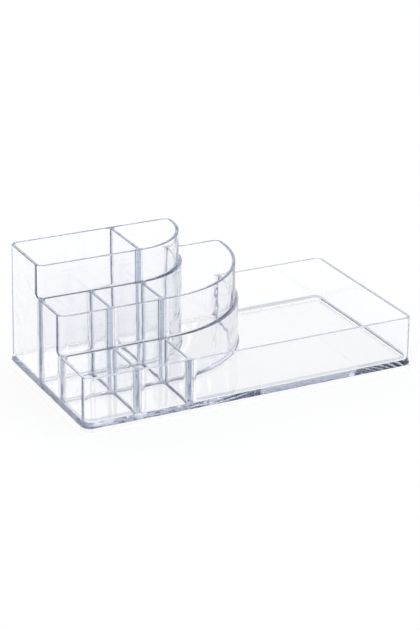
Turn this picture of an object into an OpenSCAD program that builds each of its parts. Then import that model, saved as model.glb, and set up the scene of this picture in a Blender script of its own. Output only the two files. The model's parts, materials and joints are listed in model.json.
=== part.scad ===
// Clear stepped organizer: three tiers of pockets at the left and a low tray at the right.
// Millimetres, +Z up. The origin is on the ground, under the middle of the footprint.
// Each tier is a closed band of wall. A taller band stands inside the lower one that wraps it.

/* [Body] */
// Length of the body at the ground, left to right, without the skirt
body_l = 235; // [215:1:280]
// Depth of the body at the ground, front to back, without the skirt
body_w = 124; // [118:1:150]
// Outer radius of the upright corners at the ground
corner_r = 6.5; // [5:0.1:7]
// Angle in degrees at which the outside faces lean inwards
draft = 0.8; // [0.2:0.1:0.9]

/* [Tiers] */
// Height of the rear tier's rim above the ground
rear_h = 83.5; // [76:0.5:95]
// Height of the middle tier's rim above the ground
middle_h = 62; // [48:0.5:70]
// Height of the front tier's rim above the ground, which is the tray's rim too
front_h = 35.8; // [24:0.2:42]
// Depth of the rear tier at the ground, measured from the back of the body
rear_d = 50.5; // [42:0.5:56]
// Depth of the middle tier at the ground, measured from the back of the body
middle_d = 84.8; // [80:0.2:92]
// Distance from the left of the body to the start of the rear tier's curved end
rear_straight_l = 73; // [72:0.1:82]
// Distance from the left of the body to the start of the middle tier's curved end
middle_straight_l = 76.6; // [74:0.1:84]
// Thickness of the tier walls at their rims
wall_t = 2.2; // [1.6:0.1:2.6]
// Width of the ledge that a lower rim leaves along the taller tier behind it
ledge_w = 2; // [1.2:0.1:2.6]

/* [Dividers] */
// Thickness of the dividers
divider_t = 2.2; // [1.6:0.1:3]
// Radius of the hollow flares that spread the ends of the dividers
flare_r = 3.3; // [1.5:0.1:3.5]
// Distance from the left of the body to the first row of dividers
divider_x = 36.6; // [30:0.2:40]
// Distance between the two rows of dividers
divider_pitch = 35.8; // [32:0.2:37]

/* [Base] */
// Height of the floor's underside above the ground
floor_gap = 2; // [1.5:0.1:3]
// Thickness of the floor
floor_t = 3.3; // [2:0.1:4]
// Height of the skirt, where it meets the walls
skirt_h = 8.5; // [8:0.1:12]
// Reach of the skirt's toe beyond the foot of the body
skirt_reach = 2.2; // [1:0.1:4]
// Height of the upright toe along the bottom of the skirt
toe_h = 0.5; // [0.3:0.1:0.8]
// Thickness of the skirt's lip where it stands on the ground
lip_t = 1.2; // [0.8:0.1:1.6]
// Distance of the lip's inner top edge inside the foot of the body
lip_inset = 0.7; // [0.3:0.1:1]

/* [Corners] */
// Radius of the upright corners where a ledge meets an outer wall
inner_r = 3; // [1:0.1:3.5]
// Least thickness of a wall's end where it laps a rounded corner
lap_t = 0.25; // [0.2:0.05:0.4]

/* [Hidden] */
$fn = 96;

lean = tan(draft);
// Leaning faces are set to whole grains, so that their flats and rounds meet exactly
grain = 0.001;
left_x = -body_l / 2;
front_y = -body_w / 2;
back_y = body_w / 2;
floor_top = floor_gap + floor_t;
// One overrun serves every cut that goes through a face
overrun = wall_t;
// Depth to which a rounded filling sinks into the ledge that it meets
bite = 0.05;

// Distance inside the foot of the body of the faces that line the tray
lining = shrink_at(front_h) + wall_t;
// Length of the stretch left off a lapped wall end, so that the end keeps its least thickness
lap_cut = sqrt(pow(corner_r, 2) - pow(corner_r - lap_t, 2));

DIVIDER_COLUMNS = [left_x + divider_x, left_x + divider_x + divider_pitch];
REAR = [rear_straight_l, rear_d];
MIDDLE = [middle_straight_l, middle_d];

// How far an outside face has leaned in at height z
function shrink_at(z) = round(lean * z / grain) * grain;
function tier_bend_x(tier) = left_x + tier[0];
function tier_front_y(tier) = back_y - tier[1];
function tier_bend_r(tier) = tier[1] - corner_r;
// Every upright axis at the back lies a corner radius in front of the back face
back_axis_y = back_y - corner_r;
// Upright axes of a tier's front left corner and of the corner that ends its curve at the back
function tier_front_axis(tier) = [left_x + corner_r, tier_front_y(tier) + corner_r];
function tier_end_axis(tier) = [tier_bend_x(tier) + tier_bend_r(tier) - corner_r, back_axis_y];

// Plan of the whole body, drawn inwards by shrink from its outline at the ground
module body_plan(shrink) {
    square([body_l - 2 * corner_r, body_w - 2 * shrink], center = true);
    square([body_l - 2 * shrink, body_w - 2 * corner_r], center = true);
    for (x = [left_x + corner_r, -left_x - corner_r], y = [front_y + corner_r, back_axis_y])
        translate([x, y]) circle(corner_r - shrink);
}

// Plan of a tier: straight along the left, swept back in an arc at the right
module tier_plan(tier, shrink) {
    bend_x = tier_bend_x(tier);
    bend_r = tier_bend_r(tier);
    front = tier_front_y(tier);
    translate([left_x + corner_r, front + shrink])
        square([tier[0] - corner_r, tier[1] - 2 * shrink]);
    translate([left_x + shrink, front + corner_r])
        square([corner_r - shrink, tier[1] - 2 * corner_r]);
    translate([bend_x, back_axis_y])
        square([bend_r - corner_r, corner_r - shrink]);
    for (axis = [tier_front_axis(tier), [left_x + corner_r, back_axis_y], tier_end_axis(tier)])
        translate(axis) circle(corner_r - shrink);
    intersection() {
        translate([bend_x, back_axis_y]) circle(bend_r - shrink);
        translate([bend_x, back_axis_y - bend_r - corner_r])
            square([bend_r + corner_r, bend_r + corner_r]);
    }
}

// Quarter of a round corner that narrows with height, from the floor up to top
module leaning_corner(axis, turn, r, top) {
    translate([axis[0], axis[1], 0]) rotate([0, 0, turn]) rotate_extrude(angle = 90)
        polygon([[0, floor_top], [r - shrink_at(floor_top), floor_top],
                 [r - shrink_at(top), top], [0, top]]);
}

// Section of a block from a to b, from the floor up to top; a side leans inwards where its share is 1
module leaning_section(a, b, lean_shares, top) {
    foot = lean_shares * shrink_at(floor_top);
    rim = lean_shares * shrink_at(top);
    polygon([[a + foot[0], floor_top], [b - foot[1], floor_top], [b - rim[1], top], [a + rim[0], top]]);
}

// A block along X whose front and back may lean inwards
module leaning_block_x(x0, x1, y0, y1, lean_shares, top) {
    translate([x0, 0, 0]) rotate([90, 0, 90]) linear_extrude(x1 - x0)
        leaning_section(y0, y1, lean_shares, top);
}

// A block along Y whose left and right may lean inwards
module leaning_block_y(y0, y1, x0, x1, lean_shares, top) {
    translate([0, y1, 0]) rotate([90, 0, 0]) linear_extrude(y1 - y0)
        leaning_section(x0, x1, lean_shares, top);
}

// The whole body up to the tray's rim, without its hollows
module leaning_body(top) {
    axis_x = -left_x - corner_r;
    front_axis_y = front_y + corner_r;
    leaning_block_x(-axis_x, axis_x, front_y, back_y, [1, 1], top);
    leaning_block_y(front_axis_y, back_axis_y, left_x, -axis_x, [1, 0], top);
    leaning_block_y(front_axis_y, back_axis_y, axis_x, -left_x, [0, 1], top);
    leaning_corner([axis_x, back_axis_y], 0, corner_r, top);
    leaning_corner([-axis_x, back_axis_y], 90, corner_r, top);
    leaning_corner([-axis_x, front_axis_y], 180, corner_r, top);
    leaning_corner([axis_x, front_axis_y], 270, corner_r, top);
}

// The front left corner and the curved end of a tier, which show above the lower tier
module leaning_nose(tier, top) {
    leaning_corner(tier_front_axis(tier), 180, corner_r, top);
    leaning_corner([tier_bend_x(tier), back_axis_y], 270, tier_bend_r(tier), top);
    leaning_corner(tier_end_axis(tier), 0, corner_r, top);
}

// A tier up to its rim, without its hollow
module leaning_tier(tier, top) {
    axis_x = left_x + corner_r;
    leaning_block_x(axis_x, tier_bend_x(tier), tier_front_y(tier), back_y, [1, 1], top);
    leaning_block_x(tier_bend_x(tier), tier_end_axis(tier)[0], back_axis_y, back_y, [0, 1], top);
    leaning_block_y(tier_front_axis(tier)[1], back_axis_y, left_x, axis_x, [1, 0], top);
    leaning_corner([axis_x, back_axis_y], 90, corner_r, top);
    leaning_nose(tier, top);
}

// The room that a tier takes in the wall that wraps it, with blunt ends where that wall laps it
module tier_seat(tier, top) {
    axis_x = left_x + corner_r;
    beyond_y = back_y + overrun;
    leaning_block_x(axis_x, tier_bend_x(tier), tier_front_y(tier), beyond_y, [1, 0], top);
    leaning_block_x(tier_bend_x(tier), tier_end_axis(tier)[0] + lap_cut, back_axis_y, beyond_y,
                    [0, 0], top);
    leaning_block_y(tier_front_axis(tier)[1] - lap_cut, beyond_y, left_x - overrun, axis_x,
                    [0, 0], top);
    leaning_nose(tier, top);
}

// Rounds the square upright corner of a hollow at x and y, where the hollow lies to the right and in front
module corner_filling(x, y) {
    translate([x, y]) difference() {
        square(2 * inner_r, center = true);
        translate([inner_r, -inner_r]) circle(inner_r);
    }
}

// Plan of the hollow inside a tier, before what stands in it is taken away
module lined_plan(tier, top) {
    tier_plan(tier, shrink_at(top) + wall_t);
}

// Plan that a taller tier and the ledge round it take up in the hollow of the lower one
module ledged_plan(tier, top) {
    tier_plan(tier, shrink_at(top) - ledge_w);
}

// Rounds the two corners where a ledge runs into the lining of the left and back walls
module ledge_corners(tier, top) {
    inset = shrink_at(top) + wall_t;
    reach = ledge_w - shrink_at(top) - bite;
    corner_filling(left_x + inset, tier_front_y(tier) - reach);
    corner_filling(tier_end_axis(tier)[0] + corner_r + reach, back_y - inset);
}

// Plan of the rear tier's hollow
module rear_hollow() {
    lined_plan(REAR, rear_h);
}

// Plan of the middle tier's hollow, which bends round the rear tier
module middle_hollow() {
    difference() {
        lined_plan(MIDDLE, middle_h);
        ledged_plan(REAR, middle_h);
        ledge_corners(REAR, middle_h);
    }
}

// Plan of the front tier's hollow, the front pockets and the tray together
module front_hollow() {
    difference() {
        body_plan(lining);
        ledged_plan(MIDDLE, front_h);
        ledge_corners(MIDDLE, front_h);
    }
}

// Raises a plan from below the floor to above a rim, as a cutter
module through(top) {
    translate([0, 0, floor_top - overrun]) linear_extrude(top - floor_top + 2 * overrun) children();
}

// The room that the skirt frame takes above the floor, all round the body
module frame_room() {
    translate([0, 0, floor_top - overrun]) linear_extrude(skirt_h - floor_top + overrun)
        difference() {
            square([body_l + 2 * overrun, body_w + 2 * overrun], center = true);
            body_plan(lining);
        }
}

// Section of the skirt frame: x runs inwards from the foot of the body, y runs up
module frame_section() {
    top_x = shrink_at(skirt_h);
    reach = top_x + skirt_reach;
    rise = skirt_h - toe_h;
    sweep_r = (pow(reach, 2) + pow(rise, 2)) / (2 * reach);
    difference() {
        polygon([[-skirt_reach, 0], [lip_t - skirt_reach, 0], [lip_inset, floor_gap],
                 [lining, floor_gap], [lining, skirt_h], [top_x, skirt_h],
                 [-skirt_reach, toe_h]]);
        translate([top_x - sweep_r, skirt_h]) circle(sweep_r);
    }
}

// Frame that carries the floor and the outer walls, and flares out into the skirt
module skirt_frame() {
    color("lavender") for (turn = [0:3]) {
        run = (turn % 2 == 0 ? body_l : body_w) - 2 * corner_r;
        out = (turn % 2 == 0 ? body_w : body_l) / 2;
        rotate([0, 0, 90 * turn]) {
            translate([-run / 2, -out, 0]) rotate([90, 0, 90]) linear_extrude(run) frame_section();
            translate([run / 2, corner_r - out, 0]) rotate([0, 0, -90])
                rotate_extrude(angle = 90) translate([corner_r, 0]) mirror([1, 0]) frame_section();
        }
    }
}

// Floor shared by all the tiers, bonded inside the frame
module floor_panel() {
    color("ghostwhite") translate([0, 0, floor_gap]) linear_extrude(floor_t) body_plan(lining);
}

// Tallest band, round the rear pockets
module rear_tier_wall() {
    color("lightsteelblue") difference() {
        leaning_tier(REAR, rear_h);
        through(rear_h) rear_hollow();
        frame_room();
    }
}

// Middle band, wrapped round the rear tier
module middle_tier_wall() {
    color("powderblue") difference() {
        leaning_tier(MIDDLE, middle_h);
        through(middle_h) middle_hollow();
        tier_seat(REAR, rear_h);
        frame_room();
    }
}

// Lowest band, round the front pockets and the tray
module front_tier_wall() {
    color("aliceblue") difference() {
        leaning_body(front_h);
        through(front_h) front_hollow();
        tier_seat(MIDDLE, middle_h);
        frame_room();
    }
}

// Plan of an upright divider that runs front to back at x and flares where it meets a wall
module divider_plan(x, y0, y1) {
    reach = divider_t / 2 + flare_r;
    translate([x, 0]) difference() {
        translate([-reach, y0]) square([2 * reach, y1 - y0]);
        for (side = [-1, 1]) {
            for (y = [y0 + flare_r, y1 - flare_r])
                translate([side * reach, y]) circle(flare_r);
            translate([side > 0 ? divider_t / 2 : -reach, y0 + flare_r])
                square([flare_r, y1 - y0 - 2 * flare_r]);
        }
    }
}

// Stands a divider on the floor, trimmed to the plan of the hollow that it divides
module divider(top) {
    translate([0, 0, floor_top]) linear_extrude(top - floor_top) intersection() {
        children(0);
        children(1);
    }
}

module rear_divider() {
    inset = shrink_at(rear_h) + wall_t;
    color("lightgray") divider(rear_h) {
        rear_hollow();
        divider_plan(DIVIDER_COLUMNS[1], tier_front_y(REAR) + inset, back_y - inset);
    }
}

module middle_divider(column) {
    color("gainsboro") divider(middle_h) {
        middle_hollow();
        divider_plan(DIVIDER_COLUMNS[column], tier_front_y(MIDDLE) + shrink_at(middle_h) + wall_t,
                     tier_front_y(REAR) + shrink_at(middle_h) - ledge_w);
    }
}

module middle_divider_left() middle_divider(0);

module middle_divider_right() middle_divider(1);

module front_divider(column) {
    color("whitesmoke") divider(front_h) {
        front_hollow();
        divider_plan(DIVIDER_COLUMNS[column], front_y + lining,
                     tier_front_y(MIDDLE) + shrink_at(front_h) - ledge_w);
    }
}

module front_divider_left() front_divider(0);

module front_divider_right() front_divider(1);

skirt_frame();
floor_panel();
rear_tier_wall();
middle_tier_wall();
front_tier_wall();
rear_divider();
middle_divider_left();
middle_divider_right();
front_divider_left();
front_divider_right();
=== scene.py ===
"""Looks of a clear moulded organizer: three tiers of pockets and a low tray at the right.

The whole moulding is modelled as one clear body, so that light runs through it as through the
real one. It is then cut along its joints into the pieces of the frame. Lengths are metres, +Z up.
"""
import json
import logging
import math
from collections.abc import Sequence
from dataclasses import dataclass, field
from enum import Enum

import bpy
from mathutils import Matrix, Vector

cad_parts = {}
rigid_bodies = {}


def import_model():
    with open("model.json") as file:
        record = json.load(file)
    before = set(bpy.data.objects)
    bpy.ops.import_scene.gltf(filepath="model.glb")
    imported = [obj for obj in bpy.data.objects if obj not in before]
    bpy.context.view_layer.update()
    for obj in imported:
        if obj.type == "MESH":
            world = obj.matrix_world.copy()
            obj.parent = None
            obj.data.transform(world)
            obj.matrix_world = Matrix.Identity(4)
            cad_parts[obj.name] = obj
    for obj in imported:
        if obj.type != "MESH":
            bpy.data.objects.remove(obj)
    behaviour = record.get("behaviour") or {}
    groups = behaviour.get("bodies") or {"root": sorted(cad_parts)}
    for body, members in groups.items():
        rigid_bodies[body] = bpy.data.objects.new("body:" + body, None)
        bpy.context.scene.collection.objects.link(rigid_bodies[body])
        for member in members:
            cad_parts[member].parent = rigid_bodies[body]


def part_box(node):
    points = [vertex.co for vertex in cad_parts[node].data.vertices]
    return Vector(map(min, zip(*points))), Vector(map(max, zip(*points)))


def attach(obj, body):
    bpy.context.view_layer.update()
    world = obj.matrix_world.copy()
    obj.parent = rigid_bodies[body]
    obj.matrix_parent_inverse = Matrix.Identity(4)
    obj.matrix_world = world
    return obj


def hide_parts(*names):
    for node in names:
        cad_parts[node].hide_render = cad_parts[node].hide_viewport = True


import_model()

LOG = logging.getLogger("organizer")
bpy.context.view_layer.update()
MM = 0.001
# Length below which a step, a radius or an inset counts as zero
FINEST = 1e-7
# Distance at which the points of an outline are merged
MERGE_GAP = 20 * FINEST
# Largest distance between a round stretch and its facets
CHORD_GAP = 0.004 * MM
# Face attribute of the faces by which two pieces are bonded
BONDED = "bonded"
# Facets of the rounds in a profile
RIM_FACETS = 5
COVE_FACETS = 7
FILLET_FACETS = 8
SKIRT_FACETS = 12
# Angle above which an edge stays sharp
CREASE = math.radians(24)
# Weight at which a vertex takes its normal from its largest face
LARGE_FACES_FIRST = 100
# Corner radii of a plain rectangle
SQUARE = (0.0, 0.0, 0.0, 0.0)
WHITE = (1.0, 1.0, 1.0, 1.0)


class Grow(Enum):
    """The way in which an outline is raised into a solid."""

    UP = 1
    DOWN = -1


class Cut(Enum):
    """How a solid is combined with a tool solid."""

    JOIN = "UNION"
    TAKE_AWAY = "DIFFERENCE"
    KEEP_SHARED = "INTERSECT"


@dataclass(frozen=True)
class Arc:
    """A round stretch of an outline; straight stretches join it to its neighbours.

    The angles are in degrees. The arc runs anticlockwise where end is larger than start.
    A radius of zero is a plain corner. Outlines grown from one another share the radius that
    sets their facets, so that their facets stay parallel.
    """

    x: float
    y: float
    radius: float = 0.0
    start: float = 0.0
    end: float = 0.0
    facet_radius: float = 0.0

    def at(self, angle: float) -> tuple[float, float]:
        """Returns the point of the arc at an angle in degrees."""
        turn = math.radians(angle)
        return self.x + self.radius * math.cos(turn), self.y + self.radius * math.sin(turn)

    def grown(self, out: float) -> "Arc":
        """Returns the same stretch of an outline that lies outside this one by out."""
        side = 1 if self.end >= self.start else -1
        return Arc(self.x, self.y, self.radius + side * out, self.start, self.end,
                   self.facet_radius or self.radius)

    def facets(self) -> int:
        """Returns how many facets keep the arc within the chord gap."""
        widest = 2 * math.degrees(math.acos(1 - CHORD_GAP / (self.facet_radius or self.radius)))
        return max(2, math.ceil(abs(self.end - self.start) / widest))


Outline = list[Arc]
Profile = list[tuple[float, float]]


def grown(outline: Outline, out: float) -> Outline:
    """Returns an outline that lies outside another one by out."""
    return [arc.grown(out) for arc in outline]


def rectangle(x0: float, y0: float, x1: float, y1: float, radii: Sequence[float]) -> Outline:
    """Gives the outline of a rectangle with round corners.

    Args:
        x0: Left side.
        y0: Front side.
        x1: Right side.
        y1: Back side.
        radii: Corner radii, from the front left one anticlockwise.

    Returns:
        The outline's arcs, anticlockwise.
    """
    a, b, c, d = radii
    return [
        Arc(x0 + a, y0 + a, a, 180, 270),
        Arc(x1 - b, y0 + b, b, 270, 360),
        Arc(x1 - c, y1 - c, c, 0, 90),
        Arc(x0 + d, y1 - d, d, 90, 180),
    ]


def deselect() -> None:
    """Leaves edit mode with nothing selected."""
    if bpy.context.object and bpy.context.object.mode != "OBJECT":
        bpy.ops.object.mode_set(mode="OBJECT")
    bpy.ops.object.select_all(action="DESELECT")


def activate(obj: bpy.types.Object) -> None:
    """Selects one object alone and makes it the active one."""
    deselect()
    obj.select_set(True)
    bpy.context.view_layer.objects.active = obj


def draw_line(here: tuple[float, float], there: tuple[float, float]) -> tuple[float, float]:
    """Pulls the selected point along a straight line.

    Args:
        here: Where the point is.
        there: Where the line ends.

    Returns:
        The end of the line.
    """
    step = (there[0] - here[0], there[1] - here[1], 0.0)
    if math.hypot(step[0], step[1]) > FINEST:
        bpy.ops.mesh.extrude_region_move(TRANSFORM_OT_translate={"value": step})
    return there


def trace(name: str, outline: Outline, z: float, grow: Grow) -> bpy.types.Object:
    """Traces a closed outline in edit mode and fills it with one face.

    Args:
        name: Name of the new object.
        outline: The arcs of the outline, anticlockwise.
        z: Height of the outline.
        grow: Direction in which the face looks.

    Returns:
        The object, active and in edit mode, with its face selected.
    """
    deselect()
    first = outline[0].at(outline[0].start)
    bpy.ops.mesh.primitive_plane_add(size=MM, location=(*first, z))
    obj = bpy.context.object
    obj.name = name
    bpy.ops.object.transform_apply(location=True, rotation=True, scale=True)
    bpy.ops.object.mode_set(mode="EDIT")
    bpy.ops.mesh.select_mode(type="VERT")
    bpy.ops.mesh.select_all(action="SELECT")
    bpy.ops.mesh.merge(type="CENTER")
    here = first
    for arc in outline:
        here = draw_line(here, arc.at(arc.start))
        if arc.radius > FINEST:
            # The operator counts a turn to the left as a negative angle
            bpy.ops.mesh.spin(steps=arc.facets(), angle=math.radians(arc.start - arc.end),
                              center=(arc.x, arc.y, z), axis=(0, 0, 1))
            here = arc.at(arc.end)
    draw_line(here, first)
    bpy.ops.mesh.select_all(action="SELECT")
    bpy.ops.mesh.remove_doubles(threshold=MERGE_GAP)
    bpy.ops.mesh.edge_face_add()
    bpy.ops.object.mode_set(mode="OBJECT")
    looks_up = obj.data.polygons[0].normal.z > 0
    bpy.ops.object.mode_set(mode="EDIT")
    if looks_up != (grow is Grow.UP):
        bpy.ops.mesh.flip_normals()
    return obj


def loft(name: str, outline: Outline, profile: Profile, grow: Grow) -> bpy.types.Object:
    """Raises an outline through a profile into a closed solid.

    Args:
        name: Name of the new object.
        outline: The outline at the profile's first point.
        profile: Inset and height of each level; the first step goes straight up or down.
        grow: Whether the heights rise or fall.

    Returns:
        The solid, in object mode.
    """
    obj = trace(name, outline, profile[0][1], grow)
    bpy.ops.mesh.select_mode(type="FACE")
    for (inset, z), (next_inset, next_z) in zip(profile, profile[1:]):
        if abs(next_inset - inset) < FINEST:
            bpy.ops.mesh.extrude_region_move(TRANSFORM_OT_translate={"value": (0, 0, next_z - z)})
        else:
            bpy.ops.mesh.inset(thickness=next_inset - inset, depth=(next_z - z) * grow.value,
                               use_boundary=True, use_even_offset=True)
    bpy.ops.mesh.select_all(action="SELECT")
    bpy.ops.mesh.normals_make_consistent(inside=False)
    bpy.ops.object.mode_set(mode="OBJECT")
    return obj


def combine(obj: bpy.types.Object, tool: bpy.types.Object, cut: Cut,
            keep_tool: bool = False) -> None:
    """Applies a Boolean modifier to a solid; the new faces keep the tool's finish.

    Args:
        obj: The solid that is changed.
        tool: The solid that changes it.
        cut: How the two are combined.
        keep_tool: Whether the tool is used again.
    """
    activate(obj)
    step = obj.modifiers.new("cut", "BOOLEAN")
    step.object = tool
    step.operation = cut.value
    step.solver = "EXACT"
    step.material_mode = "TRANSFER"
    bpy.ops.object.modifier_apply(modifier=step.name)
    if not keep_tool:
        discard(tool)


def discard(obj: bpy.types.Object) -> None:
    """Deletes an object together with its mesh."""
    mesh = obj.data
    bpy.data.objects.remove(obj)
    bpy.data.meshes.remove(mesh)


def duplicate(obj: bpy.types.Object, name: str) -> bpy.types.Object:
    """Returns a copy of a solid that has a mesh of its own."""
    activate(obj)
    bpy.ops.object.duplicate()
    twin = bpy.context.object
    twin.name = name
    twin.data.name = name
    return twin


@dataclass(frozen=True)
class Tier:
    """One step of the organizer: straight along the left, swept back in an arc at the right."""

    front_y: float
    rim: float
    bend_x: float
    bend_r: float
    left_x: float
    back_y: float
    corner_r: float

    def end_x(self) -> float:
        """Returns the upright axis of the corner that ends the curve at the back."""
        return self.bend_x + self.bend_r - self.corner_r

    def territory(self, inset: float, beyond: float, lap: float = 0.0,
                  run: float = 0.0) -> Outline:
        """Gives the tier's outline with its left and back sides moved out of the body.

        Args:
            inset: How far the nose is drawn inwards from the tier's foot.
            beyond: How far the outline runs out past the left and the back.
            lap: Least thickness of a band's end where it laps a round corner.
            run: Length of the straight stretches that follow the nose.

        Returns:
            The outline's arcs, anticlockwise.
        """
        r = self.corner_r
        axis_y = self.back_y - r
        short = math.degrees(math.acos((r - lap) / r))
        left, back = self.left_x - beyond, self.back_y + beyond
        nose = [
            Arc(self.left_x + r, self.front_y + r, r, 180 + short, 270),
            Arc(self.bend_x, axis_y, self.bend_r, 270, 360),
            Arc(self.end_x(), axis_y, r, 0, 90 - short),
        ]
        nose = grown(nose, -inset)
        x0, y0 = nose[0].at(nose[0].start)
        x1, y1 = nose[2].at(nose[2].end)
        return [*nose, Arc(x1 - run, y1), Arc(x1 - run, back), Arc(left, back),
                Arc(left, y0 + run), Arc(x0, y0 + run)]


@dataclass
class Layout:
    """Sizes and places of the moulding, worked out from the frame's boxes."""

    corner_r: float = 6.5 * MM
    wall_t: float = 2.2 * MM
    divider_t: float = 2.2 * MM
    ledge_w: float = 2 * MM
    ledge_corner_r: float = 3 * MM
    fillet_r: float = 1.5 * MM
    skirt_reach: float = 2.2 * MM
    toe_h: float = 0.5 * MM
    lip_t: float = 1.2 * MM
    lip_inset: float = 0.7 * MM
    draft: float = math.tan(math.radians(0.8))
    rim_r: float = 0.45 * MM
    cove_r: float = 1.2 * MM
    lap_t: float = 0.25 * MM
    nest: float = 0.01 * MM
    right_x: float = field(init=False)
    left_x: float = field(init=False)
    back_y: float = field(init=False)
    front_y: float = field(init=False)
    skirt_h: float = field(init=False)
    floor_z: float = field(init=False)
    floor_top: float = field(init=False)
    lining: float = field(init=False)
    rim: float = field(init=False)
    flare_r: float = field(init=False)
    columns: list[float] = field(init=False)
    rear: Tier = field(init=False)
    middle: Tier = field(init=False)

    def __post_init__(self) -> None:
        """Reads the frame's boxes."""
        skirt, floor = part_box("skirt_frame"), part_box("floor_panel")
        self.right_x = skirt[1].x - self.skirt_reach
        self.left_x = -self.right_x
        self.back_y = skirt[1].y - self.skirt_reach
        self.front_y = -self.back_y
        self.skirt_h = skirt[1].z
        self.floor_z, self.floor_top = floor[0].z, floor[1].z
        self.lining = self.right_x - floor[1].x
        self.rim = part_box("front_tier_wall")[1].z
        self.rear = self.tier("rear_tier_wall")
        self.middle = self.tier("middle_tier_wall")
        left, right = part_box("front_divider_left"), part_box("front_divider_right")
        self.columns = [(box[0].x + box[1].x) / 2 for box in (left, right)]
        self.flare_r = (left[1].x - left[0].x - self.divider_t) / 2

    def lean(self, z: float) -> float:
        """Returns how far an outside face has leaned in at a height."""
        return self.draft * z

    def tier(self, node: str) -> Tier:
        """Reads a tier's place from its node in the frame."""
        low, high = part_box(node)
        foot = self.lean(self.floor_top)
        front_y = low.y - foot
        bend_r = self.back_y - front_y - self.corner_r
        bend_x = high.x + foot - bend_r
        return Tier(front_y, high.z, bend_x, bend_r, self.left_x, self.back_y, self.corner_r)

    def body(self, inset: float) -> Outline:
        """Returns the outline of the whole body, drawn inwards from its foot."""
        r = self.corner_r - inset
        return rectangle(self.left_x + inset, self.front_y + inset,
                         self.right_x - inset, self.back_y - inset, (r, r, r, r))

    def quarter(self, radius: float, count: int = RIM_FACETS) -> Profile:
        """Gives the points of a quarter round, from its upright end.

        Args:
            radius: Radius of the round.
            count: Number of facets.

        Returns:
            Inset and rise of each point after the first.
        """
        turns = [math.pi / 2 * i / count for i in range(1, count + 1)]
        return [(radius * (1 - math.cos(t)), radius * math.sin(t)) for t in turns]

    def rim_profile(self, base: Profile, rim: float, extra: float) -> Profile:
        """Continues an outside face up to a round rim.

        Args:
            base: The profile below, which ends on the leaning face.
            rim: Height of the rim.
            extra: How far the face lies inside its nominal place.

        Returns:
            The whole profile.
        """
        shoulder = rim - self.rim_r
        inset = self.lean(shoulder) + extra
        return [*base, (inset, shoulder),
                *[(inset + i, shoulder + rise) for i, rise in self.quarter(self.rim_r)]]

    def hollow_profile(self, rim: float) -> Profile:
        """Gives the profile of a hollow's cutter, from above its rim down to the floor."""
        r, cove = self.rim_r, self.cove_r
        flare = [(r - i, rim - r + rise) for i, rise in reversed(self.quarter(r))]
        hollow = self.quarter(cove, COVE_FACETS)
        foot = [(r + i, self.floor_top + cove - drop) for i, drop in hollow]
        return [(0, rim + 2 * r), *flare, (r, rim - r), (r, self.floor_top + cove), *foot]


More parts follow.
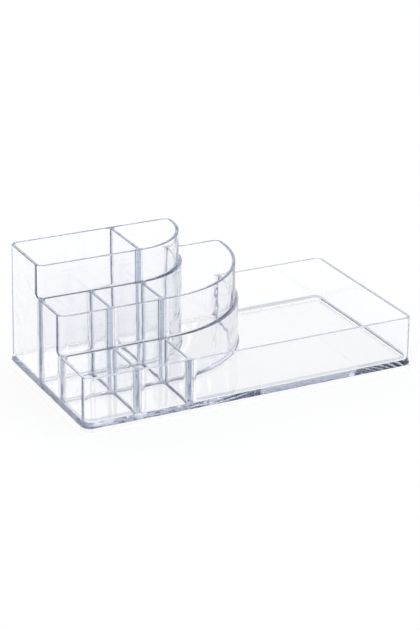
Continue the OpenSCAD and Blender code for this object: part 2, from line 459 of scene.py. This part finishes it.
@dataclass
class Pockets:
    """The eight hollows of the moulding, as outlines in plan."""

    layout: Layout

    def beside_bend(self, tier: Tier, inset: float, outer: bool,
                    radius: float) -> tuple[Arc, float]:
        """Rounds the corner between the right column's wall and a tier's arc.

        Args:
            tier: The tier that has the arc.
            inset: How far the arc is drawn inwards from the tier's foot.
            outer: Whether the hollow lies outside the arc.
            radius: Radius of the corner.

        Returns:
            The corner, and the angle in degrees at which it meets the arc.
        """
        side_x = self.layout.columns[1] + self.layout.divider_t / 2
        arc_r = tier.bend_r - inset
        axis_y = tier.back_y - tier.corner_r
        reach = arc_r + radius if outer else arc_r - radius
        x = side_x + radius
        # Where the corner lies left of the arc's start it meets the straight stretch instead
        run = max(0.0, x - tier.bend_x)
        drop = math.sqrt(reach ** 2 - run ** 2)
        meet = math.degrees(math.atan2(-drop, run)) + 360
        if outer:
            return Arc(x, axis_y - drop, radius, meet - 180, 180), meet
        return Arc(x, axis_y - drop, radius, 180, meet), meet

    def at_back(self, tier: Tier, inset: float, back_y: float) -> tuple[Arc, float]:
        """Rounds the corner between a ledge's arc and the back wall.

        Args:
            tier: The tier that the ledge goes round.
            inset: How far the arc is drawn inwards from the tier's foot.
            back_y: Where the back wall's lining lies.

        Returns:
            The corner, and the angle in degrees at which it meets the arc.
        """
        r = self.layout.ledge_corner_r
        reach = tier.bend_r - inset + r
        axis_y = tier.back_y - tier.corner_r
        up = back_y - r - axis_y
        meet = math.degrees(math.asin(up / reach)) + 360
        x = tier.bend_x + math.sqrt(reach ** 2 - up ** 2)
        return Arc(x, back_y - r, r, 90, meet - 180), meet

    def row(self, front: float, back: float, inset: float, back_left_r: float) -> list[Outline]:
        """Gives the straight pockets at the left of a row.

        Args:
            front: Front side of the row.
            back: Back side of the row.
            inset: Distance of the left side from the body's foot.
            back_left_r: Radius of the back left corner.

        Returns:
            The outlines of the left pocket and of the one beside it.
        """
        lay = self.layout
        half, flare = lay.divider_t / 2, lay.flare_r
        left, right = lay.columns
        return [
            rectangle(lay.left_x + inset, front, left - half, back,
                      (lay.corner_r - inset, flare, flare, back_left_r)),
            rectangle(left + half, front, right - half, back, (flare,) * 4),
        ]

    def rear(self) -> list[Outline]:
        """Returns the two pockets of the rear tier."""
        lay, tier = self.layout, self.layout.rear
        inset = lay.lean(tier.rim) + lay.wall_t
        front, back = tier.front_y + inset, tier.back_y - inset
        half, flare = lay.divider_t / 2, lay.flare_r
        right, r = lay.columns[1], lay.corner_r - inset
        near, meet = self.beside_bend(tier, inset, False, flare)
        arc_r = tier.bend_r - inset
        axis_y = tier.back_y - tier.corner_r
        return [
            rectangle(lay.left_x + inset, front, right - half, back, (r, flare, flare, r)),
            [near, Arc(tier.bend_x, axis_y, arc_r, meet, 360), Arc(tier.end_x(), axis_y, r, 0, 90),
             Arc(right + half + flare, back - flare, flare, 90, 180)],
        ]

    def middle(self) -> list[Outline]:
        """Returns the three pockets of the middle tier."""
        lay, tier, rear = self.layout, self.layout.middle, self.layout.rear
        lean = lay.lean(tier.rim)
        inset = lean + lay.wall_t
        ledge = lean - lay.ledge_w
        front, back = tier.front_y + inset, rear.front_y + ledge
        flare, r = lay.flare_r, lay.corner_r - inset
        axis_y = tier.back_y - tier.corner_r
        first, first_meet = self.beside_bend(tier, inset, False, flare)
        near, meet = self.beside_bend(rear, ledge, True, flare)
        far, far_meet = self.at_back(rear, ledge, tier.back_y - inset)
        curved = [
            first,
            Arc(tier.bend_x, axis_y, tier.bend_r - inset, first_meet, 360),
            Arc(tier.end_x(), axis_y, r, 0, 90),
            far,
            Arc(rear.bend_x, axis_y, rear.bend_r - ledge, far_meet, meet),
            near,
        ]
        return [*self.row(front, back, inset, lay.ledge_corner_r), curved]

    def front(self) -> list[Outline]:
        """Returns the two front pockets and the tray."""
        lay, middle = self.layout, self.layout.middle
        inset = lay.lining
        ledge = lay.lean(lay.rim) - lay.ledge_w
        front, back = lay.front_y + inset, middle.front_y + ledge
        flare, r = lay.flare_r, lay.corner_r - inset
        side_x = lay.columns[1] + lay.divider_t / 2
        axis_y = middle.back_y - middle.corner_r
        near, meet = self.beside_bend(middle, ledge, True, flare)
        far, far_meet = self.at_back(middle, ledge, lay.back_y - inset)
        tray = [
            Arc(side_x + flare, front + flare, flare, 180, 270),
            Arc(lay.right_x - inset - r, front + r, r, 270, 360),
            Arc(lay.right_x - inset - r, lay.back_y - inset - r, r, 0, 90),
            far,
            Arc(middle.bend_x, axis_y, middle.bend_r - ledge, far_meet, meet),
            near,
        ]
        return [*self.row(front, back, inset, lay.ledge_corner_r), tray]


@dataclass
class Moulding:
    """The clear body in one, before it is cut into its pieces.

    The hidden share is how far up the skirt's height the blocks of the tiers start.
    """

    layout: Layout
    surface: bpy.types.Material
    hidden_share: float = 0.7

    def base_block(self) -> bpy.types.Object:
        """Returns the lowest block, from the skirt's toe up to the tray's rim."""
        lay = self.layout
        reach = lay.skirt_reach
        top_x = lay.lean(lay.skirt_h)
        run, rise = top_x + reach, lay.skirt_h - lay.toe_h
        sweep_r = (run ** 2 + rise ** 2) / (2 * run)
        full = math.asin(rise / sweep_r)
        profile = [(0.0, 0.0), (0.0, lay.toe_h)]
        for i in range(1, SKIRT_FACETS + 1):
            turn = full * (1 - i / SKIRT_FACETS)
            profile.append((run - sweep_r * (1 - math.cos(turn)) + 2 * lay.nest * i / SKIRT_FACETS,
                            lay.skirt_h - sweep_r * math.sin(turn)))
        profile = lay.rim_profile(profile, lay.rim, 2 * lay.nest + reach)
        return loft("base_block", grown(lay.body(0), reach), profile, Grow.UP)

    def tier_block(self, tier: Tier, rim_below: float, extra: float) -> bpy.types.Object:
        """Returns the block of a tier, which starts hidden inside the skirt.

        It rises from the ledge below in a hollow round. Its left and back are trimmed to the
        body's sides.

        Args:
            tier: The tier.
            rim_below: Height of the ledge.
            extra: How far its faces lie inside their nominal places.

        Returns:
            The solid block.
        """
        lay = self.layout
        r, nest = lay.fillet_r, lay.nest
        low = lay.skirt_h * self.hidden_share
        start = lay.lean(rim_below) + extra - nest - r
        profile = [(0.0, low), (0.0, rim_below + nest)]
        for i in range(1, FILLET_FACETS + 1):
            turn = math.pi / 2 * i / FILLET_FACETS
            rise = r * (1 - math.cos(turn))
            profile.append((r * math.sin(turn) + lay.lean(rise), rim_below + nest + rise))
        profile = lay.rim_profile(profile, tier.rim, extra - nest - start)
        beyond = 4 * r
        block = loft("tier_block", tier.territory(start, beyond, 0.0, 2 * r), profile, Grow.UP)
        bottom = low - r
        foot = lay.lean(bottom) + extra
        sides = rectangle(tier.left_x + foot, tier.front_y - beyond,
                          tier.bend_x + tier.bend_r + beyond, tier.back_y - foot,
                          (0, 0, 0, tier.corner_r - foot))
        base = [(0.0, bottom), (0.0, bottom + nest)]
        profile = lay.rim_profile(base, tier.rim + nest, extra - foot)
        combine(block, loft("tier_sides", sides, profile, Grow.UP), Cut.KEEP_SHARED)
        return block

    def underside(self) -> bpy.types.Object:
        """Returns the cutter of the room under the floor, inside the skirt's lip."""
        lay = self.layout
        out = lay.skirt_reach - lay.lip_t
        profile = [(0.0, -lay.floor_z), (0.0, 0.0), (out + lay.lip_inset, lay.floor_z)]
        return loft("underside", grown(lay.body(0), out), profile, Grow.UP)

    def build(self) -> bpy.types.Object:
        """Returns the whole clear body."""
        lay = self.layout
        body = self.base_block()
        body.name = "clear_body"
        body.data.materials.append(self.surface)
        combine(body, self.tier_block(lay.middle, lay.rim, lay.nest), Cut.JOIN)
        combine(body, self.tier_block(lay.rear, lay.middle.rim, 0.0), Cut.JOIN)
        pockets = Pockets(lay)
        rows = [
            (pockets.rear(), lay.rear.rim),
            (pockets.middle(), lay.middle.rim),
            (pockets.front(), lay.rim),
        ]
        for outlines, rim in rows:
            profile = lay.hollow_profile(rim)
            for outline in outlines:
                cutter = loft("hollow", grown(outline, lay.rim_r), profile, Grow.DOWN)
                combine(body, cutter, Cut.TAKE_AWAY)
        combine(body, self.underside(), Cut.TAKE_AWAY)
        return body


@dataclass
class Splitter:
    """Cuts the clear body along its joints into the pieces of the frame.

    The small distances are counted in gaps. They keep the planes of one cut off those of
    another, because a cut fails where two planes nearly coincide.
    """

    layout: Layout
    weld: bpy.types.Material
    gap: float = 0.02 * MM
    bond: float = 0.005 * MM
    divider_gaps: float = 0.7
    rear_gaps: float = 0.85
    middle_gaps: float = 1.0
    tray_gaps: float = 1.15
    foot_gaps: float = 2.0
    nose_gaps: float = 3.0
    side_gaps: float = 5.0
    head_gaps: float = 50.0

    def room(self, outline: Outline, low: float, high: float) -> bpy.types.Object:
        """Returns an upright room between two heights, with the weld's finish."""
        room = loft("room", outline, [(0.0, low), (0.0, high)], Grow.UP)
        room.data.materials.append(self.weld)
        return room

    def frame_room(self) -> bpy.types.Object:
        """Returns the room of the skirt's frame."""
        lay = self.layout
        beyond = 2 * lay.skirt_reach
        room = self.room(grown(lay.body(0), beyond), -beyond, lay.skirt_h + self.gap / 2)
        inner = self.room(lay.body(lay.lining), -2 * beyond, lay.skirt_h + beyond)
        combine(room, inner, Cut.TAKE_AWAY)
        return room

    def divider_room(self, node: str) -> bpy.types.Object:
        """Returns the room of the divider that a node of the frame stands for."""
        low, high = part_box(node)
        g = self.gap
        side = self.side_gaps * g
        plan = rectangle(low.x - side, low.y - g, high.x + side, high.y + g, SQUARE)
        return self.room(plan, low.z + self.divider_gaps * g, high.z + self.head_gaps * g)

    def tier_room(self, tier: Tier, rim_below: float, gaps: float) -> bpy.types.Object:
        """Returns the room of a tier's band.

        Args:
            tier: The tier.
            rim_below: Height of the rim that wraps the tier.
            gaps: Height of the room's bottom over the floor, in gaps.

        Returns:
            The room, as one solid.
        """
        lay, g = self.layout, self.gap
        beyond = lay.skirt_reach
        # The lower part reaches into the upper one, so that the two join
        seam, top = rim_below - g / 2, rim_below
        foot, head = lay.lean(lay.floor_top), lay.lean(top)
        bottom, bend = lay.floor_top + gaps * g, lay.floor_top + self.foot_gaps * g
        profile = [(0.0, bottom), (0.0, bend), (head - foot, top)]
        low = loft("room", tier.territory(foot, beyond, lay.lap_t), profile, Grow.UP)
        low.data.materials.append(self.weld)
        wide = tier.territory(head - lay.fillet_r - self.nose_gaps * g, beyond, lay.lap_t)
        combine(low, self.room(wide, seam, tier.rim + beyond), Cut.JOIN)
        return low

    def floor_room(self) -> bpy.types.Object:
        """Returns the room of the floor, with the coves that run along the outer walls."""
        lay, g = self.layout, self.gap
        wide = grown(lay.body(lay.lining), self.side_gaps * g)
        room = self.room(wide, -lay.skirt_h, lay.floor_top + lay.cove_r + g)
        inner = self.room(lay.body(lay.lining + lay.cove_r + g),
                          lay.floor_top + self.tray_gaps * g, lay.skirt_h + lay.cove_r)
        combine(room, inner, Cut.TAKE_AWAY)
        return room

    def take(self, body: bpy.types.Object, room: bpy.types.Object, name: str) -> bpy.types.Object:
        """Cuts one piece off the body.

        Args:
            body: What is left of the body.
            room: The piece's room.
            name: The piece's name.

        Returns:
            The piece.
        """
        piece = duplicate(body, name)
        combine(piece, room, Cut.KEEP_SHARED, keep_tool=True)
        combine(body, room, Cut.TAKE_AWAY)
        return piece

    def set_back(self, piece: bpy.types.Object) -> None:
        """Sets a piece's bonded faces back by a hair, so that no two pieces share a face.

        The faces are marked in an attribute, which makes them see-through.

        Args:
            piece: The piece.
        """
        mesh = piece.data
        slot = next(i for i, material in enumerate(mesh.materials) if material == self.weld)
        activate(piece)
        bpy.ops.object.mode_set(mode="EDIT")
        bpy.ops.mesh.select_mode(type="FACE")
        bpy.ops.mesh.select_all(action="DESELECT")
        piece.active_material_index = slot
        bpy.ops.object.material_slot_select()
        bpy.ops.mesh.quads_convert_to_tris(quad_method="BEAUTY", ngon_method="BEAUTY")
        bpy.ops.mesh.extrude_region_shrink_fatten(
            TRANSFORM_OT_shrink_fatten={"value": -self.bond, "use_even_offset": True})
        bpy.ops.object.mode_set(mode="OBJECT")
        bonded = [1.0 if face.material_index == slot else 0.0 for face in mesh.polygons]
        mesh.attributes.new(BONDED, "FLOAT", "FACE").data.foreach_set("value", bonded)

    def split(self, body: bpy.types.Object) -> dict[str, bpy.types.Object]:
        """Cuts the whole body up.

        Args:
            body: The clear body, which is used up.

        Returns:
            The pieces by the node of the frame that each stands for.
        """
        lay = self.layout
        pieces = {"skirt_frame": self.take(body, self.frame_room(), "foot_skirt")}
        names = {
            "rear_divider": "rear_partition",
            "middle_divider_left": "middle_partition_left",
            "middle_divider_right": "middle_partition_right",
            "front_divider_left": "front_partition_left",
            "front_divider_right": "front_partition_right",
        }
        for node, name in names.items():
            pieces[node] = self.take(body, self.divider_room(node), name)
        rear_room = self.tier_room(lay.rear, lay.middle.rim, self.rear_gaps)
        pieces["rear_tier_wall"] = self.take(body, rear_room, "rear_band")
        middle_room = self.tier_room(lay.middle, lay.rim, self.middle_gaps)
        pieces["middle_tier_wall"] = self.take(body, middle_room, "middle_band")
        pieces["floor_panel"] = self.take(body, self.floor_room(), "floor_plate")
        body.name = body.data.name = "front_band"
        pieces["front_tier_wall"] = body
        for piece in pieces.values():
            self.set_back(piece)
        return pieces


def calculate(tree: bpy.types.NodeTree, way: str,
              *values: bpy.types.NodeSocket | float) -> bpy.types.NodeSocket:
    """Adds a calculation.

    Args:
        tree: The tree that gets the node.
        way: The operation's name.
        values: What the node's inputs take in order, each a number or a socket.

    Returns:
        The result's socket.
    """
    node = tree.nodes.new("ShaderNodeMath")
    node.operation = way
    for given, value in zip(node.inputs, values):
        if isinstance(value, bpy.types.NodeSocket):
            tree.links.new(value, given)
        else:
            given.default_value = value
    return node.outputs[0]


class MouldedSurface:
    """The shared effect of a moulded surface: slow ripple, faint flow lines, a trace of haze."""

    NAME = "moulded_surface"
    INPUTS = ("Ripple Size", "Ripple", "Flow", "Haze")
    OUTPUTS = ("Height", "Roughness")
    FLOW_SCALE = 260.0
    FLOW_STRETCH = (1.0, 1.0, 0.12)
    HAZE_SCALE = 35.0
    RIPPLE_DETAIL = 1.5
    FLOW_DETAIL = 2.0
    HAZE_DETAIL = 3.0

    def __init__(self) -> None:
        """Builds the node group, or finds it if it's there."""
        self.tree = bpy.data.node_groups.get(self.NAME) or self.build()

    def build(self) -> bpy.types.NodeTree:
        """Returns the new node group."""
        tree = bpy.data.node_groups.new(self.NAME, "ShaderNodeTree")
        for way, names in (("INPUT", self.INPUTS), ("OUTPUT", self.OUTPUTS)):
            for name in names:
                tree.interface.new_socket(name, in_out=way, socket_type="NodeSocketFloat")
        nodes, links = tree.nodes, tree.links
        given = nodes.new("NodeGroupInput")
        out = nodes.new("NodeGroupOutput")
        place = nodes.new("ShaderNodeTexCoord")
        ripple = self.noise(tree, place.outputs["Object"], self.RIPPLE_DETAIL)
        links.new(given.outputs["Ripple Size"], ripple.inputs["Scale"])
        stretch = nodes.new("ShaderNodeMapping")
        stretch.inputs["Scale"].default_value = self.FLOW_STRETCH
        links.new(place.outputs["Object"], stretch.inputs["Vector"])
        flow = self.noise(tree, stretch.outputs["Vector"], self.FLOW_DETAIL)
        flow.inputs["Scale"].default_value = self.FLOW_SCALE
        haze = self.noise(tree, place.outputs["Object"], self.HAZE_DETAIL)
        haze.inputs["Scale"].default_value = self.HAZE_SCALE
        low = calculate(tree, "MULTIPLY", ripple.outputs["Fac"], given.outputs["Ripple"])
        fine = calculate(tree, "MULTIPLY", flow.outputs["Fac"], given.outputs["Flow"])
        height = calculate(tree, "ADD", low, fine)
        rough = calculate(tree, "MULTIPLY", haze.outputs["Fac"], given.outputs["Haze"])
        links.new(height, out.inputs["Height"])
        links.new(rough, out.inputs["Roughness"])
        return tree

    @staticmethod
    def noise(tree: bpy.types.NodeTree, vector: bpy.types.NodeSocket,
              detail: float) -> bpy.types.Node:
        """Adds a noise texture.

        Args:
            tree: The tree that gets the node.
            vector: Where the noise is read.
            detail: Number of finer layers.

        Returns:
            The node.
        """
        node = tree.nodes.new("ShaderNodeTexNoise")
        node.inputs["Detail"].default_value = detail
        tree.links.new(vector, node.inputs["Vector"])
        return node


@dataclass(frozen=True)
class ClearPlastic:
    """A clear moulded plastic, a little lavender where light runs far through it.

    The density is per metre, and the relief is the height of the surface's ripple.
    """

    name: str
    passed: tuple[float, float, float] = (0.64, 0.68, 0.77)
    density: float = 44.0
    ior: float = 1.57
    ripple_size: float = 60.0
    ripple: float = 1.0
    flow: float = 0.06
    haze: float = 0.015
    relief: float = 0.25 * MM

    def build(self) -> bpy.types.Material:
        """Returns the material."""
        material = bpy.data.materials.new(self.name)
        material.use_nodes = True
        tree = material.node_tree
        nodes, links = tree.nodes, tree.links
        shader = nodes["Principled BSDF"]
        shader.inputs["Base Color"].default_value = WHITE
        shader.inputs["IOR"].default_value = self.ior
        shader.inputs["Transmission Weight"].default_value = 1
        surface = nodes.new("ShaderNodeGroup")
        surface.node_tree = MouldedSurface().tree
        surface.inputs["Ripple Size"].default_value = self.ripple_size
        surface.inputs["Ripple"].default_value = self.ripple
        surface.inputs["Flow"].default_value = self.flow
        surface.inputs["Haze"].default_value = self.haze
        bump = nodes.new("ShaderNodeBump")
        bump.inputs["Distance"].default_value = self.relief
        links.new(surface.outputs["Height"], bump.inputs["Height"])
        links.new(bump.outputs["Normal"], shader.inputs["Normal"])
        links.new(surface.outputs["Roughness"], shader.inputs["Roughness"])
        bonded = nodes.new("ShaderNodeAttribute")
        bonded.attribute_name = BONDED
        seen = calculate(tree, "SUBTRACT", 1, bonded.outputs["Fac"])
        links.new(seen, shader.inputs["Alpha"])
        inside = nodes.new("ShaderNodeVolumeAbsorption")
        inside.inputs["Color"].default_value = (*self.passed, 1)
        inside.inputs["Density"].default_value = self.density
        links.new(inside.outputs["Volume"], nodes["Material Output"].inputs["Volume"])
        return material


def smooth(piece: bpy.types.Object) -> None:
    """Shades a piece smooth over its rounds and keeps its flats flat."""
    activate(piece)
    bpy.ops.object.shade_smooth_by_angle(angle=CREASE)
    step = piece.modifiers.new("flats", "WEIGHTED_NORMAL")
    step.keep_sharp = True
    step.weight = LARGE_FACES_FIRST
    bpy.ops.object.modifier_apply(modifier=step.name)


@dataclass(frozen=True)
class Lamp:
    """A soft lamp that looks at the organizer."""

    name: str
    place: tuple[float, float, float]
    size: float
    power: float

    def hang(self) -> None:
        """Adds the lamp to the scene."""
        data = bpy.data.lights.new(self.name, "AREA")
        data.size = self.size
        data.energy = self.power
        lamp = bpy.data.objects.new(self.name, data)
        bpy.context.scene.collection.objects.link(lamp)
        lamp.location = self.place
        lamp.rotation_euler = (-Vector(self.place)).to_track_quat("-Z", "Y").to_euler()


@dataclass
class Studio:
    """Camera, floor, world and lamps.

    The floor has one glow where the camera sees it directly and another where it's seen in or
    through the plastic. The sky is white up to its start and dark from its end, both given as
    heights on a unit sphere.
    """

    turn: float = 0.474
    tilt: float = 0.392
    roll: float = 0.012
    lens: float = 117.51
    place: tuple[float, float, float] = (-0.5691, -1.1076, 0.5498)
    floor_size: float = 12.0
    floor_grey: float = 0.25
    floor_glow: float = 0.84
    seen_through_glow: float = 0.9
    sky_start: float = 0.42
    sky_end: float = 0.58
    sky_dark: tuple[float, float, float] = (0.07, 0.09, 0.14)
    sensor: float = 36.0
    nearest: float = 0.01
    bounces: int = 64
    transmission_bounces: int = 40
    glossy_bounces: int = 34

    def camera(self) -> None:
        """Sets up the camera at the photograph's angle."""
        data = bpy.data.cameras.new("camera")
        data.lens = self.lens
        data.sensor_width = self.sensor
        data.clip_start = self.nearest
        camera = bpy.data.objects.new("camera", data)
        bpy.context.scene.collection.objects.link(camera)
        turn = (Matrix.Rotation(-self.turn, 4, "Z")
                @ Matrix.Rotation(math.pi / 2 - self.tilt, 4, "X")
                @ Matrix.Rotation(self.roll, 4, "Z"))
        camera.matrix_world = Matrix.Translation(self.place) @ turn
        bpy.context.scene.camera = camera

    def floor(self) -> None:
        """Lays the pale floor."""
        deselect()
        bpy.ops.mesh.primitive_plane_add(size=self.floor_size, location=(0, 0, 0))
        floor = bpy.context.object
        floor.name = "floor"
        material = bpy.data.materials.new("pale_floor")
        material.use_nodes = True
        tree = material.node_tree
        nodes, links = tree.nodes, tree.links
        shader = nodes["Principled BSDF"]
        shader.inputs["Base Color"].default_value = (*[self.floor_grey] * 3, 1)
        shader.inputs["Roughness"].default_value = 1
        shader.inputs["Specular IOR Level"].default_value = 0
        path = nodes.new("ShaderNodeLightPath")
        through = calculate(tree, "MAXIMUM", path.outputs["Is Glossy Ray"],
                            path.outputs["Is Transmission Ray"])
        direct = calculate(tree, "MULTIPLY", path.outputs["Is Camera Ray"], self.floor_glow)
        strength = calculate(tree, "MULTIPLY_ADD", through, self.seen_through_glow, direct)
        shader.inputs["Emission Color"].default_value = WHITE
        links.new(strength, shader.inputs["Emission Strength"])
        floor.data.materials.append(material)

    def world(self) -> None:
        """Sets the white surroundings, darker overhead."""
        world = bpy.data.worlds.new("studio")
        bpy.context.scene.world = world
        world.use_nodes = True
        nodes, links = world.node_tree.nodes, world.node_tree.links
        nodes.clear()
        out = nodes.new("ShaderNodeOutputWorld")
        path = nodes.new("ShaderNodeLightPath")
        place = nodes.new("ShaderNodeTexCoord")
        split = nodes.new("ShaderNodeSeparateXYZ")
        links.new(place.outputs["Generated"], split.inputs[0])
        ramp = nodes.new("ShaderNodeValToRGB")
        links.new(split.outputs["Z"], ramp.inputs[0])
        low, high = ramp.color_ramp.elements
        low.position, high.position = self.sky_start, self.sky_end
        low.color, high.color = WHITE, (*self.sky_dark, 1)
        around = nodes.new("ShaderNodeBackground")
        links.new(ramp.outputs[0], around.inputs["Color"])
        around.inputs["Strength"].default_value = 1
        white = nodes.new("ShaderNodeBackground")
        white.inputs["Color"].default_value = WHITE
        mix = nodes.new("ShaderNodeMixShader")
        links.new(path.outputs["Is Camera Ray"], mix.inputs[0])
        links.new(around.outputs[0], mix.inputs[1])
        links.new(white.outputs[0], mix.inputs[2])
        links.new(mix.outputs[0], out.inputs[0])

    def build(self) -> None:
        """Sets up the whole studio."""
        self.camera()
        self.floor()
        self.world()
        for lamp in LAMPS:
            lamp.hang()
        scene = bpy.context.scene
        scene.view_settings.view_transform = "Standard"
        scene.cycles.max_bounces = scene.cycles.transparent_max_bounces = self.bounces
        scene.cycles.transmission_bounces = self.transmission_bounces
        scene.cycles.glossy_bounces = self.glossy_bounces


LAMPS = (
    Lamp("key", (-0.9, -0.8, 1.4), size=1.2, power=8.0),
    Lamp("fill", (1.1, -0.3, 1.5), size=1.4, power=6.0),
    Lamp("back", (0.2, 1.4, 1.2), size=1.2, power=5.0),
)
SLOTS = {
    "skirt_frame": "clear_base",
    "floor_panel": "clear_base",
    "rear_tier_wall": "clear_wall",
    "middle_tier_wall": "clear_wall",
    "front_tier_wall": "clear_wall",
}
FINISHES = (
    ClearPlastic("clear_base", density=16.0, ripple=0.3),
    ClearPlastic("clear_wall"),
    ClearPlastic("clear_divider", ripple=1.6),
)


def main() -> None:
    """Builds the studio and the organizer, and dresses its pieces."""
    logging.basicConfig(level=logging.INFO, format="%(name)s: %(message)s")
    Studio().build()
    layout = Layout()
    raw, weld = (bpy.data.materials.new(name) for name in ("raw_surface", "raw_weld"))
    body = Moulding(layout, raw).build()
    LOG.info("clear body: %d faces", len(body.data.polygons))
    finishes = {finish.name: finish.build() for finish in FINISHES}
    for node, piece in Splitter(layout, weld).split(body).items():
        slot = SLOTS.get(node, "clear_divider")
        piece.data.materials.clear()
        piece.data.materials.append(finishes[slot])
        smooth(piece)
        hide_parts(node)
        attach(piece, "root")
        LOG.info("%s: %d faces", piece.name, len(piece.data.polygons))
    for material in (raw, weld):
        bpy.data.materials.remove(material)


if __name__ == "__main__":
    main()
